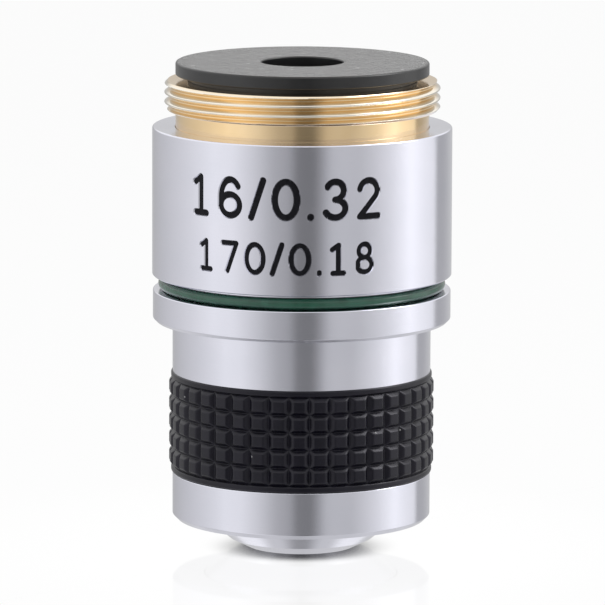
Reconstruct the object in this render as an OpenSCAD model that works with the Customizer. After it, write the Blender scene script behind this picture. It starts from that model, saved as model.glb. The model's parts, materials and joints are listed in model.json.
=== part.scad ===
// Sprung achromat microscope objective, standing on its nose with the mounting thread up.
// Z is the optical axis and z = 0 is the front face of the nose. All sizes are in millimetres.
// The outer barrel, thread, rear stop, retaining ring and spring stay with the microscope.
// The nose slides up into the barrel against the spring when it meets a slide.
// Diameters follow from the mounting thread: walls and gaps lead inwards to the lenses and
// outwards to the barrel. Heights are stacked from the nose up.

/* [Mounting end] */
// Major diameter of the mounting thread, 0.8 inch
thread_d = 20.24; // [18:0.01:23]
// Length of the threaded part
thread_h = 2.15; // [1.6:0.05:4]
// Chamfer at both ends of the thread
thread_chamfer = 0.25; // [0.1:0.05:0.5]
// Depth of the plain neck under the thread
neck_undercut = 0.82; // [0.6:0.01:1]
// Height of the plain neck between the thread and the shoulder
neck_h = 1.25; // [0.9:0.05:2.5]
// Wall of the neck, outside the spring
neck_wall = 0.9; // [0.6:0.05:1.2]
// How far the rear stop's disc lies inside the thread's crests
stop_inset = 0.82; // [0.5:0.01:1.2]
// Thickness of the rear stop's disc
stop_t = 0.95; // [0.6:0.05:2]
// Gap between the thread's end and the disc
stop_gap = 0.4; // [0.3:0.05:1.5]
// Light hole through the rear stop
stop_hole_d = 6; // [4.6:0.1:9]
// How far the rear stop's skirt reaches into the thread mount
stop_depth = 2.2; // [1:0.1:2.6]
// Wall of the rear stop's skirt
stop_wall = 1.95; // [0.8:0.05:2.5]

/* [Outer barrel] */
// Height of the engraved barrel
barrel_h = 10.95; // [9.5:0.05:14]
// Wall of the barrel at its lower end
barrel_wall = 0.83; // [0.7:0.01:1.5]
// Chamfer at the barrel's lower edge
barrel_chamfer = 0.15; // [0.05:0.05:0.6]
// Small chamfer on turned edges
edge_break = 0.12; // [0.05:0.01:0.2]
// Thickness of the lip that the thread mount screws down to
lip_t = 0.7; // [0.5:0.1:1.2]

/* [Retaining ring and colour band] */
// How far the flange's side lies inside the barrel's side
flange_inset = 0.05; // [0:0.01:0.3]
// Height of the flange
flange_h = 2.3; // [1.5:0.05:4]
// Chamfer under the flange
flange_chamfer = 0.25; // [0.1:0.05:0.8]
// Wall of the part that screws into the barrel
ring_wall = 0.61; // [0.5:0.01:0.8]
// How far the ring reaches up from its flange
ring_reach = 4.15; // [3:0.05:4.6]
// Height of the groove between the flange and the barrel
groove_h = 1.1; // [0.8:0.05:2]
// Depth of the colour band below the barrel's side
band_inset = 0.45; // [0.3:0.01:0.55]
// Free height over the colour band
band_gap = 0.2; // [0.1:0.05:0.4]

/* [Sliding sleeve] */
// Bare sleeve between the grip and the flange
sleeve_show = 3.75; // [3.3:0.05:6]
// Wall of the sleeve around the spring
sleeve_wall = 1.1; // [0.9:0.05:1.6]
// How far the nose can be pushed in
travel = 3; // [1:0.1:3.3]
// Height of the collar that holds the sleeve in the barrel
collar_h = 1.5; // [1.2:0.05:2]
// How far the collar stands out of the sleeve
collar_lip = 0.25; // [0.15:0.01:0.3]
// Depth of the spring well, from the sleeve's top
well_depth = 6; // [4:0.1:8]
// Depth of the seat under the grip
grip_seat_step = 0.7; // [0.5:0.05:0.9]
// Step from that seat down to the thread of the front cap
cap_thread_step = 0.4; // [0.2:0.05:0.6]
// Diameter of the guide pin
pin_d = 0.9; // [0.6:0.02:1]
// How far the guide pin stands out of the collar
pin_out = 0.35; // [0.2:0.01:0.38]

/* [Grip] */
// Height of the rubber grip
grip_h = 7.5; // [6:0.1:12]
// How far the pyramids stand out of the sleeve
grip_proud = 0.25; // [0.1:0.01:0.5]
// Depth of the grooves between the pyramids
grip_depth = 0.3; // [0.1:0.01:0.4]
// Rows of pyramids
grip_rows = 5; // [3:1:8]
// Pyramids around the grip
grip_columns = 40; // [30:1:54]
// Turn of the pyramids about the axis, in degrees
grip_turn = 3.6; // [0:0.2:12]
// Height of the plain rim at each end
rim_h = 0.5; // [0.3:0.05:1]
// How far the rims stand below the pyramids
rim_inset = 0.14; // [0.05:0.01:0.25]
// Flat top of each pyramid, as a share of its width
pyramid_flat = 0.42; // [0.2:0.02:0.7]

/* [Front cap and nose] */
// Height of the front cap
cap_h = 3.5; // [2.8:0.05:6]
// Chamfer at the cap's lower edge
cap_chamfer = 0.35; // [0.2:0.05:0.9]
// Floor of the front cap under the sleeve's end
cap_floor = 1.3; // [0.8:0.05:1.6]
// How far the nose stands out of the cap
nose_h = 2.1; // [1.5:0.05:4]
// Radial step from the lens barrel down to the nose
nose_step = 0.1; // [0.05:0.01:0.4]
// Radial width of the nose's upper cone
upper_cone_w = 1.8; // [1.2:0.05:2.4]
// Radial width of the nose's lower, flatter cone
lower_cone_w = 1.3; // [1:0.05:2]
// Height of the lower cone
lower_cone_h = 0.65; // [0.4:0.05:0.9]
// Width of the flat front face around its hole
nose_rim = 1.8; // [1.1:0.05:2]
// How deep the front lens is recessed
nose_recess = 0.5; // [0.3:0.05:0.9]
// Height of the nose's shoulder above the cap's underside
nose_shoulder_h = 2.9; // [2.4:0.1:3.4]
// Length of the nose's screwed spigot
nose_spigot_h = 2.5; // [1.5:0.1:3.5]
// Wall of that spigot
nose_spigot_wall = 1.31; // [0.8:0.01:1.8]

/* [Lens barrel] */
// Wall of the lens barrel
lens_barrel_wall = 0.97; // [0.7:0.01:1.3]
// How far the lens barrel reaches past the locking ring
lens_barrel_tail = 2.5; // [1:0.1:2.8]
// Thickness of the lens barrel's flange
seat_flange_t = 1; // [0.6:0.1:1.5]
// Thickness of the shim that sets the focus height
shim_t = 0.2; // [0.05:0.05:0.5]
// Thickness of the web that the cells stand on
web_t = 0.8; // [0.5:0.1:1.2]
// Width of that web
web_ledge = 1.03; // [0.6:0.01:1.4]

/* [Lenses and cells] */
// Ledge that the front lens lies on
front_ledge = 0.65; // [0.4:0.05:0.9]
// Radius of the front lens's dome beyond its half diameter
front_dome_extra = 0.15; // [0.05:0.01:0.6]
// Straight edge of the front lens
front_lens_edge = 0.9; // [0.5:0.1:1.5]
// Wall of the ring that holds the front lens
front_ring_wall = 0.27; // [0.2:0.01:0.5]
// Height of the ring that holds the front lens
front_ring_h = 0.9; // [0.5:0.1:1.4]
// Wall of the middle cell around its doublet
middle_cell_wall = 1.71; // [1.2:0.01:2.4]
// Height of the middle cell
middle_cell_h = 5; // [4.5:0.1:6]
// Wall of the rear cell around its doublet
rear_cell_wall = 1.21; // [0.9:0.01:2]
// Height of the rear cell
rear_cell_h = 6; // [5.2:0.1:6.6]
// Length of the tube between the cells
spacer_h = 5; // [3:0.1:6]
// Wall of the tube between the cells
spacer_wall = 1; // [0.6:0.1:1.6]
// Thickness of each cell's seat
cell_seat_t = 1; // [0.6:0.1:1.3]
// Width of the ledge that carries each doublet
cell_ledge = 0.5; // [0.3:0.05:0.8]
// Edge thickness of the flints
flint_edge = 1.9; // [1.7:0.05:2.2]
// Edge thickness of the crowns
crown_edge = 0.8; // [0.5:0.05:1]
// Radius of the cemented faces, in half diameters of the doublet
cement_curve = 2; // [1.7:0.1:3]
// Radius of the crowns' outer faces, in half diameters of the doublet
crown_curve = 3; // [2:0.1:5]
// Height of the locking ring
lock_h = 1.6; // [1:0.1:2]
// Wall of the locking ring
lock_wall = 2.01; // [1.4:0.01:2.6]
// Width of the locking ring's spanner slots
lock_slot_w = 1; // [0.6:0.1:1.6]
// Depth of the locking ring's spanner slots
lock_slot_depth = 0.6; // [0.3:0.1:0.8]

/* [Spring] */
// Diameter of the spring's wire
wire_d = 0.7; // [0.4:0.05:0.8]
// Turns of the spring, with one closed turn at each end
spring_turns = 7; // [5:1:9]
// Thickness of the web that the spring bears on
spring_seat_t = 0.8; // [0.5:0.1:1.2]
// Free room around the spring
spring_room = 0.15; // [0.1:0.01:0.2]
// Free room between the spring and the lens barrel
spring_gap = 0.35; // [0.2:0.01:0.5]

/* [Fits] */
// Radial clearance of the sliding fits
slide_clearance = 0.04; // [0.02:0.01:0.06]
// Radial clearance of the screwed and pushed fits
screw_clearance = 0.02; // [0.01:0.01:0.03]
// Thickness of the cement and of lens seats
cement = 0.02; // [0.01:0.01:0.03]
// Free room at the ends of parts that slide or screw
end_room = 0.1; // [0.05:0.01:0.2]

/* [Hidden] */
$fn = 128;
eps = 0.01;

// Depth of a dome of radius r over a circle of radius a
function sag(r, a) = r - sqrt(r * r - a * a);

// Heights, from the nose up
cap_z = nose_h;
grip_z = cap_z + cap_h;
sleeve_z = grip_z + grip_h;
flange_z = sleeve_z + sleeve_show;
groove_z = flange_z + flange_h;
barrel_z = groove_z + groove_h;
shoulder_z = barrel_z + barrel_h;
thread_z = shoulder_z + neck_h;
thread_top = thread_z + thread_h;
stop_z = thread_top + stop_gap;
stop_skirt_z = thread_top - stop_depth;

// The collar rests on the retaining ring, and has the travel over it
collar_z = groove_z + ring_reach;
collar_top = collar_z + collar_h;
lip_z = collar_top + travel + end_room;
mount_z = lip_z + lip_t;
well_z = collar_top - well_depth;
sleeve_end = cap_z + cap_floor;

// Radii from the thread inwards
thread_r = thread_d / 2;
neck_r = thread_r - neck_undercut;
well_r = neck_r - neck_wall;
spring_r = well_r - spring_room;
lens_barrel_r = spring_r - wire_d - spring_gap;
cell_bore_r = lens_barrel_r - lens_barrel_wall;
cell_r = cell_bore_r - screw_clearance;
web_hole_r = cell_bore_r - web_ledge;
middle_lens_r = cell_r - middle_cell_wall;
rear_lens_r = cell_r - rear_cell_wall;
nose_r = lens_barrel_r - nose_step;
nose_edge_r = nose_r - upper_cone_w;
nose_face_r = nose_edge_r - lower_cone_w;
nose_hole_r = nose_face_r - nose_rim;
front_lens_r = nose_hole_r + front_ledge;
front_dome_r = front_lens_r + front_dome_extra;

// Radii from the spring well outwards
sleeve_r = well_r + sleeve_wall;
guide_r = sleeve_r + slide_clearance;
ring_r = guide_r + ring_wall;
ring_bore_r = ring_r + screw_clearance;
collar_r = sleeve_r + collar_lip;
chamber_r = collar_r + slide_clearance;
barrel_r = ring_bore_r + barrel_wall;
band_r = barrel_r - band_inset;
grip_seat_r = sleeve_r - grip_seat_step;
cap_thread_r = grip_seat_r - cap_thread_step;

// Heights inside the nose
front_lens_z = nose_recess + cement;
front_rim_z = front_lens_z + front_lens_edge;
front_ring_z = front_rim_z + sag(front_dome_r, front_lens_r)
    - sag(front_dome_r, front_lens_r - front_ring_wall) + cement;
hanger_z = well_z + shim_t;
spring_z = hanger_z + seat_flange_t;
spring_top = stop_skirt_z - spring_seat_t;
lens_barrel_z = cap_z + nose_shoulder_h;
spigot_top = lens_barrel_z + nose_spigot_h;
web_z = spigot_top + end_room;
middle_z = web_z + web_t;
spacer_z = middle_z + middle_cell_h;
rear_z = spacer_z + spacer_h;
lock_z = rear_z + rear_cell_h;
lens_barrel_top = lock_z + lock_h + lens_barrel_tail;

// Colours
nickel = "#c9c9d2";
brass = "#c9a25a";
black_plastic = "#26262a";
rubber_black = "#1f1f22";
green_enamel = "#2c4a40";
steel = "#9b9ea3";
anodised = "#2e2f33";
glass = "#bcd8e0";

// A ring or tube with square edges
module tube(r_out, r_in, z, h) {
    translate([0, 0, z])
        difference() {
            cylinder(r = r_out, h = h);
            translate([0, 0, -eps])
                cylinder(r = r_in, h = h + 2 * eps);
        }
}

// A plain cylinder from height z up, as a boss or to cut a bore
module rod(r, z, h) {
    translate([0, 0, z])
        cylinder(r = r, h = h);
}

// A turned solid with a chamfer or an edge break at its lower and upper edge
module turned(r, z, h, low, high) {
    rotate_extrude()
        polygon([[0, z], [r - low, z], [r, z + low], [r, z + h - high], [r - high, z + h], [0, z + h]]);
}

// Engraved barrel: open below for the retaining ring, with a lip that carries the thread mount
module outer_barrel() {
    color(nickel)
        difference() {
            turned(barrel_r, barrel_z, barrel_h, barrel_chamfer, edge_break);
            rod(ring_bore_r, barrel_z - eps, collar_z - barrel_z + eps);
            rod(chamber_r, collar_z - eps, lip_z - collar_z + eps);
            rod(well_r, lip_z - eps, lip_t + 2 * eps);
            rod(neck_r + screw_clearance, mount_z, shoulder_z - mount_z + eps);
            // keyway for the guide pin, at the back, open to the wider bore below it
            translate([-pin_d / 2 - slide_clearance, collar_r / 2, collar_z - end_room])
                cube([pin_d + 2 * slide_clearance, ring_r - collar_r / 2, lip_z - collar_z]);
        }
}

// Brass mount: thread, neck and screwed spigot in one piece, with a web for spring and stop
module thread_mount() {
    color(brass)
        difference() {
            union() {
                rod(neck_r, mount_z, thread_top - mount_z - thread_chamfer);
                turned(thread_r, thread_z, thread_h, thread_chamfer, thread_chamfer);
            }
            rod(well_r, mount_z - eps, spring_top - mount_z + eps);
            rod(lens_barrel_r + spring_gap, spring_top - eps, spring_seat_t + 2 * eps);
            rod(well_r, stop_skirt_z, thread_top - stop_skirt_z + eps);
        }
}

// Black rear stop, pushed into the thread mount
module rear_stop() {
    skirt_r = well_r - screw_clearance;
    color(black_plastic)
        difference() {
            union() {
                rod(skirt_r, stop_skirt_z, stop_z - stop_skirt_z + eps);
                turned(thread_r - stop_inset, stop_z, stop_t, edge_break, edge_break);
            }
            rod(skirt_r - stop_wall, stop_skirt_z - eps, stop_z - stop_skirt_z + eps);
            rod(stop_hole_d / 2, stop_z - eps, stop_t + 2 * eps);
        }
}

// Flanged ring, screwed up into the barrel: it guides the sleeve and holds its collar in
module retaining_ring() {
    color(nickel)
        difference() {
            union() {
                turned(barrel_r - flange_inset, flange_z, flange_h, flange_chamfer, edge_break);
                rod(ring_r, groove_z - eps, ring_reach + eps);
            }
            rod(guide_r, flange_z - eps, collar_z - flange_z + 2 * eps);
        }
}

// Green band of half-round section in the groove over the flange
module colour_band() {
    band_h = groove_h - band_gap;
    band_in = ring_r + screw_clearance;
    color(green_enamel)
        rotate_extrude()
            intersection() {
                translate([band_in, groove_z])
                    square([band_r - band_in, band_h]);
                translate([band_r - band_h / 2, groove_z + band_h / 2])
                    circle(r = band_h / 2, $fn = 64);
            }
}

// How far the wire's centre line has risen after t turns: closed end turns, then an even rise
function spring_rise(t) = min(t, 1) * wire_d + max(0, t - spring_turns + 1) * wire_d
    + max(0, min(t, spring_turns - 1) - 1) * (spring_top - spring_z - 3 * wire_d) / (spring_turns - 2);

// Return spring, as a wire swept along its coil
module return_spring() {
    steps = 20;
    sides = 8;
    mean_r = spring_r - wire_d / 2;
    rings = spring_turns * steps;
    points = [for (i = [0:rings], s = [0:sides - 1])
        let (a = 360 * i / steps, b = 360 * s / sides, r = mean_r + wire_d / 2 * cos(b))
            [r * cos(a), r * sin(a), spring_z + wire_d / 2 + spring_rise(i / steps) + wire_d / 2 * sin(b)]];
    walls = [for (i = [0:rings - 1], s = [0:sides - 1])
        let (n = (s + 1) % sides)
            [i * sides + s, i * sides + n, (i + 1) * sides + n, (i + 1) * sides + s]];
    ends = [[for (s = [sides - 1:-1:0]) s], [for (s = [0:sides - 1]) rings * sides + s]];
    color(steel)
        polyhedron(points = points, faces = concat(walls, ends));
}

// Sleeve: slides in the retaining ring, and carries the grip, the cap and the lens barrel
module sleeve() {
    color(nickel)
        difference() {
            union() {
                rod(sleeve_r, sleeve_z, collar_z - sleeve_z + eps);
                rod(grip_seat_r, grip_z, grip_h + eps);
                rod(cap_thread_r, sleeve_end, grip_z - sleeve_end + eps);
                rod(collar_r, collar_z, collar_h);
            }
            rod(lens_barrel_r + slide_clearance, sleeve_end - eps, collar_top - sleeve_end + 2 * eps);
            rod(well_r, well_z, well_depth + eps);
            pin_hole(pin_d / 2);
        }
}

// The guide pin's own axis and length, for the pin and for its hole
module pin_hole(r) {
    translate([0, well_r, (collar_z + collar_top) / 2])
        rotate([-90, 0, 0])
            cylinder(r = r, h = collar_r + pin_out - well_r);
}

// Pin pressed into the collar: it runs in the barrel's keyway
module guide_pin() {
    color(steel)
        pin_hole(pin_d / 2 - screw_clearance / 2);
}

// Moulded rubber ring with rows of square pyramids between two plain rims
module grip() {
    n = grip_columns;
    crest_r = sleeve_r + grip_proud;
    valley_r = crest_r - grip_depth;
    rim_r = crest_r - rim_inset;
    bore_r = (grip_seat_r + screw_clearance) / cos(90 / n);
    row_h = (grip_h - 2 * rim_h) / grip_rows;
    edge = (1 - pyramid_flat) / 2;
    // a point at column c, radius r and height z over the grip's foot
    function at(c, r, z) = let (a = grip_turn + c * 360 / n) [r * cos(a), r * sin(a), grip_z + z];
    // plain rings of the rims and the bore have two points a column: radius and height of each
    plain = [[bore_r, 0], [rim_r - edge_break, 0], [rim_r, edge_break], [rim_r, rim_h - edge_break],
             [rim_r, grip_h - rim_h + edge_break], [rim_r, grip_h - edge_break],
             [rim_r - edge_break, grip_h], [bore_r, grip_h]];
    plain_points = [for (corner = plain, c = [0:2 * n - 1]) at(c / 2, corner[0], corner[1])];
    valley_points = [for (row = [0:grip_rows], c = [0:n - 1]) at(c, valley_r, rim_h + row * row_h)];
    top_points = [for (row = [0:grip_rows - 1], c = [0:n - 1], v = [edge, 1 - edge], u = [edge, 1 - edge])
        at(c + u, crest_r, rim_h + (row + v) * row_h)];
    // indices of the points: on a plain ring, in a groove's crossing and at a pyramid's corner
    function rim_point(ring, c) = ring * 2 * n + (c + 2 * n) % (2 * n);
    function valley(row, c) = len(plain) * 2 * n + row * n + c % n;
    function top(row, c, corner) = len(plain) * 2 * n + (grip_rows + 1) * n + (row * n + c) * 4 + corner;
    rim_faces = [for (ring = [0, 1, 2, 4, 5, 6, 7], c = [0:2 * n - 1])
        let (up = (ring + 1) % len(plain))
            [rim_point(ring, c), rim_point(up, c), rim_point(up, c + 1), rim_point(ring, c + 1)]];
    foot_faces = [for (c = [0:n - 1])
        each [[rim_point(3, 2 * c), valley(0, c), rim_point(3, 2 * c + 1)],
              [rim_point(3, 2 * c + 1), valley(0, c), valley(0, c + 1)],
              [rim_point(3, 2 * c + 1), valley(0, c + 1), rim_point(3, 2 * c + 2)]]];
    head_faces = [for (c = [0:n - 1])
        each [[valley(grip_rows, c), rim_point(4, 2 * c), rim_point(4, 2 * c + 1)],
              [valley(grip_rows, c), rim_point(4, 2 * c + 1), valley(grip_rows, c + 1)],
              [valley(grip_rows, c + 1), rim_point(4, 2 * c + 1), rim_point(4, 2 * c + 2)]]];
    pyramid_faces = [for (row = [0:grip_rows - 1], c = [0:n - 1])
        each [[valley(row, c), top(row, c, 0), top(row, c, 1), valley(row, c + 1)],
              [valley(row, c + 1), top(row, c, 1), top(row, c, 3), valley(row + 1, c + 1)],
              [valley(row + 1, c + 1), top(row, c, 3), top(row, c, 2), valley(row + 1, c)],
              [valley(row + 1, c), top(row, c, 2), top(row, c, 0), valley(row, c)],
              [top(row, c, 0), top(row, c, 2), top(row, c, 3), top(row, c, 1)]]];
    color(rubber_black)
        polyhedron(points = concat(plain_points, valley_points, top_points),
                   faces = concat(rim_faces, foot_faces, head_faces, pyramid_faces));
}

// Front cap: screwed on the sleeve, it closes the grip from below
module front_cap() {
    color(nickel)
        difference() {
            turned(sleeve_r, cap_z, cap_h, cap_chamfer, edge_break);
            rod(nose_r + slide_clearance, cap_z - eps, cap_h);
            rod(cap_thread_r + screw_clearance, sleeve_end, cap_h - cap_floor + eps);
        }
}

// Nose: two cones over a flat face, screwed into the lens barrel, and the seat of the front lens
module nose_cone() {
    pocket_top = front_ring_z + front_ring_h + end_room;
    inner_r = cell_r - nose_spigot_wall;
    floor_slope = 0.5;
    color(nickel)
        difference() {
            rotate_extrude()
                polygon([[0, 0], [nose_face_r, 0], [nose_edge_r, lower_cone_h], [nose_r, cap_z],
                         [nose_r, lens_barrel_z], [cell_r, lens_barrel_z], [cell_r, spigot_top],
                         [0, spigot_top]]);
            rod(nose_hole_r, -eps, nose_recess + 2 * eps);
            rod(front_lens_r + screw_clearance, nose_recess, pocket_top - nose_recess);
            // wide bore behind the front lens, with a coned floor
            rotate_extrude()
                polygon([[0, pocket_top - eps], [front_lens_r, pocket_top - eps],
                         [inner_r, pocket_top + floor_slope * (inner_r - front_lens_r)],
                         [inner_r, spigot_top + eps], [0, spigot_top + eps]]);
        }
}

// Front lens: a flat face towards the specimen and a deep dome behind it
module front_lens() {
    color(glass)
        intersection() {
            rod(front_lens_r, front_lens_z, front_lens_edge + front_dome_r);
            translate([0, 0, front_rim_z + sag(front_dome_r, front_lens_r) - front_dome_r])
                sphere(r = front_dome_r);
        }
}

// Ring that holds the front lens in its pocket: its inner edge bears on the dome
module front_lens_ring() {
    color(anodised)
        tube(front_lens_r, front_lens_r - front_ring_wall, front_ring_z, front_ring_h);
}

// Lens barrel: hangs by its flange in the sleeve and holds the stack of cells
module lens_barrel() {
    color(anodised)
        difference() {
            union() {
                rod(lens_barrel_r, lens_barrel_z, lens_barrel_top - lens_barrel_z);
                rod(well_r - slide_clearance, hanger_z, seat_flange_t);
            }
            rod(cell_bore_r, lens_barrel_z - eps, web_z - lens_barrel_z + eps);
            rod(web_hole_r, web_z - eps, web_t + 2 * eps);
            rod(cell_bore_r, middle_z, lens_barrel_top - middle_z + eps);
        }
}

// Thin shim under the flange: it sets the height of the focus
module parfocal_shim() {
    color(brass)
        tube(well_r - slide_clearance, lens_barrel_r + slide_clearance, well_z, shim_t);
}

// Cell with a seat and a pocket for a doublet of radius r
module cell(z, h, r) {
    color(anodised)
        difference() {
            rod(cell_r, z, h);
            rod(r - cell_ledge, z - eps, cell_seat_t + 2 * eps);
            rod(r + screw_clearance, z + cell_seat_t, h - cell_seat_t + eps);
        }
}

// Flint of a doublet: a flat front face, hollow behind
module flint(z, r) {
    color(glass)
        difference() {
            rod(r, z + cell_seat_t + cement, flint_edge);
            translate([0, 0, cement_centre(z, r)])
                sphere(r = cement_curve * r);
        }
}

// Crown of a doublet: both faces domed, the front one cemented to the flint
module crown(z, r) {
    rim = z + cell_seat_t + flint_edge + crown_edge + 2 * cement;
    outer_r = crown_curve * r;
    color(glass)
        intersection() {
            rod(r, z, rim - z + outer_r);
            translate([0, 0, cement_centre(z, r) + cement])
                sphere(r = cement_curve * r);
            translate([0, 0, rim + sag(outer_r, r) - outer_r])
                sphere(r = outer_r);
        }
}

// Centre of the cemented face of a doublet whose cell stands at z
function cement_centre(z, r) =
    z + cell_seat_t + cement + flint_edge - sag(cement_curve * r, r) + cement_curve * r;

module middle_cell() { cell(middle_z, middle_cell_h, middle_lens_r); }
module middle_flint() { flint(middle_z, middle_lens_r); }
module middle_crown() { crown(middle_z, middle_lens_r); }
module rear_cell() { cell(rear_z, rear_cell_h, rear_lens_r); }
module rear_flint() { flint(rear_z, rear_lens_r); }
module rear_crown() { crown(rear_z, rear_lens_r); }

// Tube that keeps the two cells apart
module spacer_tube() {
    color(anodised)
        tube(cell_r, cell_r - spacer_wall, spacer_z, spacer_h);
}

// Screwed ring over the cells, with two spanner slots
module locking_ring() {
    color(anodised)
        difference() {
            tube(cell_r, cell_r - lock_wall, lock_z, lock_h);
            translate([-cell_r - eps, -lock_slot_w / 2, lock_z + lock_h - lock_slot_depth])
                cube([2 * cell_r + 2 * eps, lock_slot_w, lock_slot_depth + eps]);
        }
}

outer_barrel();
thread_mount();
rear_stop();
retaining_ring();
colour_band();
return_spring();
sleeve();
guide_pin();
grip();
front_cap();
nose_cone();
front_lens();
front_lens_ring();
lens_barrel();
parfocal_shim();
middle_cell();
middle_flint();
middle_crown();
spacer_tube();
rear_cell();
rear_flint();
rear_crown();
locking_ring();
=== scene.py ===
"""Looks of the microscope objective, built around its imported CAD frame.

Lengths are millimetres until a mesh is made, where they turn into metres. Every turned piece
that shows is a fine revolved mesh with rounded edges; the thread, the engraved barrel, the
moulded grip and the spring are meshes of their own. The other pieces keep their CAD solids.
"""
import json
import math
import bpy
import numpy as np
from mathutils import Matrix, Vector
from mathutils.geometry import delaunay_2d_cdt


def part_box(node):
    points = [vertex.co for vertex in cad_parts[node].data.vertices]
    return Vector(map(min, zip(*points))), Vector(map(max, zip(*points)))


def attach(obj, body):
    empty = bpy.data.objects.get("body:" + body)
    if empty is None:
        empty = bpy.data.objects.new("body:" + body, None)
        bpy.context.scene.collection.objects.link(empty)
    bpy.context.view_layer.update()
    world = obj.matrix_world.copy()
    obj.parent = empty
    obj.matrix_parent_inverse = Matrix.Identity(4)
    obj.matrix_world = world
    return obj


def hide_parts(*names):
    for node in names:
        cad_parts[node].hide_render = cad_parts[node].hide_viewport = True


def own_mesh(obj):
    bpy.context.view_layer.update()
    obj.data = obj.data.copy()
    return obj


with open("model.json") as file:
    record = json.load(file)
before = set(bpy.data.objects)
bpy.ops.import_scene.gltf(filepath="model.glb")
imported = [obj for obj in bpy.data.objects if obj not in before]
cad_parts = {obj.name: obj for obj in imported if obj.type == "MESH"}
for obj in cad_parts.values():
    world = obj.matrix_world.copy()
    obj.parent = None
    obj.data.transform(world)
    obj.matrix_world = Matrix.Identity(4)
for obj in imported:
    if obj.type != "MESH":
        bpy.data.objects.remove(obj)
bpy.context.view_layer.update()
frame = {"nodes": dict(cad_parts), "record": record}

MM = 0.001
SAME = 1e-6         # lengths that differ by less are the same
SEGMENTS = 384      # steps around a turned piece
ARC_STEPS = 5       # steps in a rounded edge
CLEARANCE = 0.02    # radial clearance of screwed and pushed fits
RUNNING = 0.04      # radial clearance of sliding fits
NECK_STEP = 0.82    # how far the plain neck lies inside the thread's crests
SPIGOT_STEP = 0.8   # how far the retaining ring's spigot lies inside its flange
GRIP_STEP = 0.7     # how far the sleeve steps in under the grip
FRONT = -90         # azimuth of the side that faces the camera, in degrees from +X


# ------------------------------------------------------------------ places from the frame

def low(name):
    """Lowest height of a CAD node."""
    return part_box(name)[0].z / MM


def high(name):
    """Highest height of a CAD node."""
    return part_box(name)[1].z / MM


def reach(name):
    """Outer radius of a round CAD node."""
    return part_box(name)[1].x / MM


# ------------------------------------------------------------------ meshes

class Shell:
    """Vertices, faces, corner normals and face materials of one mesh, in millimetres."""

    def __init__(self):
        self.verts = []
        self.faces = []
        self.normals = []
        self.slots = []

    def vertex(self, place):
        self.verts.append(tuple(place))
        return len(self.verts) - 1

    def face(self, corners, normals, slot=0):
        self.faces.append(tuple(corners))
        self.normals.extend(tuple(n) for n in normals)
        self.slots.append(slot)

    def ring(self, radius, height):
        """A ring of vertices about the axis; returns their indices."""
        turns = [2 * math.pi * k / SEGMENTS for k in range(SEGMENTS)]
        return [self.vertex((radius * math.cos(t), radius * math.sin(t), height)) for t in turns]

    def strip(self, lower, upper, lower_normal, upper_normal, steps=range(SEGMENTS)):
        """Faces between two rings, whose (radial, axial) normals turn with them."""
        for k in steps:
            n = (k + 1) % SEGMENTS
            self.face((lower[k], lower[n], upper[n], upper[k]),
                      (spin(lower_normal, k), spin(lower_normal, n), spin(upper_normal, n),
                       spin(upper_normal, k)))

    def net(self, rings, normals):
        """Faces over a grid of closed rings, which has a normal at each vertex."""
        count = len(rings[0])
        for i in range(len(rings) - 1):
            for k in range(count):
                n = (k + 1) % count
                self.face((rings[i][k], rings[i][n], rings[i + 1][n], rings[i + 1][k]),
                          (normals[i, k], normals[i, n], normals[i + 1, n], normals[i + 1, k]))

    def object(self, name, body, slot, *replaced):
        """Makes the mesh and its object, which rides on a body and stands for CAD nodes."""
        mesh = bpy.data.meshes.new(name)
        mesh.from_pydata([tuple(c * MM for c in v) for v in self.verts], [], self.faces)
        mesh.shade_smooth()
        mesh.normals_split_custom_set(self.normals)
        mesh.polygons.foreach_set("material_index", self.slots)
        obj = bpy.data.objects.new(name, mesh)
        bpy.context.scene.collection.objects.link(obj)
        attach(obj, body)
        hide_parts(*replaced)
        return obj


def spin(normal, k):
    """A (radial, axial) normal at step k around the axis."""
    t = 2 * math.pi * k / SEGMENTS
    return (normal[0] * math.cos(t), normal[0] * math.sin(t), normal[1])


def outline(*corners):
    """A closed outline from (radius, height, fillet) corners, listed anticlockwise.

    Returns (place, normal before, normal after) points, with an arc in each filleted corner.
    """
    points = []
    for i, (radius, height, fillet) in enumerate(corners):
        here = Vector((radius, height))
        into = here - Vector(corners[i - 1][:2])
        out = Vector(corners[(i + 1) % len(corners)][:2]) - here
        before = Vector((into.y, -into.x)).normalized()
        after = Vector((out.y, -out.x)).normalized()
        turn = math.atan2(before.x * after.y - before.y * after.x, before.dot(after))
        if fillet == 0 or turn == 0:
            points.append((here, before, after))
            continue
        slope = abs(math.tan(turn / 2))
        most = 0.45     # share of a side that an arc may take
        back = min(fillet * slope, most * into.length, most * out.length)
        swing = math.copysign(back / slope, turn)
        centre = here - into.normalized() * back - before * swing
        for k in range(ARC_STEPS + 1):
            normal = Matrix.Rotation(turn * k / ARC_STEPS, 2) @ before
            points.append((centre + normal * swing, normal, normal))
    return points


def revolve(points, skip=()):
    """Turns an outline about the axis; returns the shell and its rings.

    The faces that start at the points in skip are left out, for the caller to fill.
    """
    shell = Shell()
    rings = [shell.ring(place.x, place.y) for place, _, _ in points]
    for i, (_, _, after) in enumerate(points):
        n = (i + 1) % len(points)
        if i not in skip:
            shell.strip(rings[i], rings[n], after, points[n][1])
    return shell, rings


def find(points, radius, height):
    """Index of the outline point nearest to a radius and height."""
    return min(range(len(points)), key=lambda i: (points[i][0] - Vector((radius, height))).length)


# ------------------------------------------------------------------ material tools

def new_material(name, base, **sockets):
    """A Principled material; socket names are given with underscores for spaces."""
    mat = bpy.data.materials.new(name)
    mat.use_nodes = True
    shader = mat.node_tree.nodes["Principled BSDF"]
    shader.inputs["Base Color"].default_value = (*base, 1)
    for socket, value in sockets.items():
        shader.inputs[socket.replace("_", " ")].default_value = value
    return mat, mat.node_tree, shader


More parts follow.
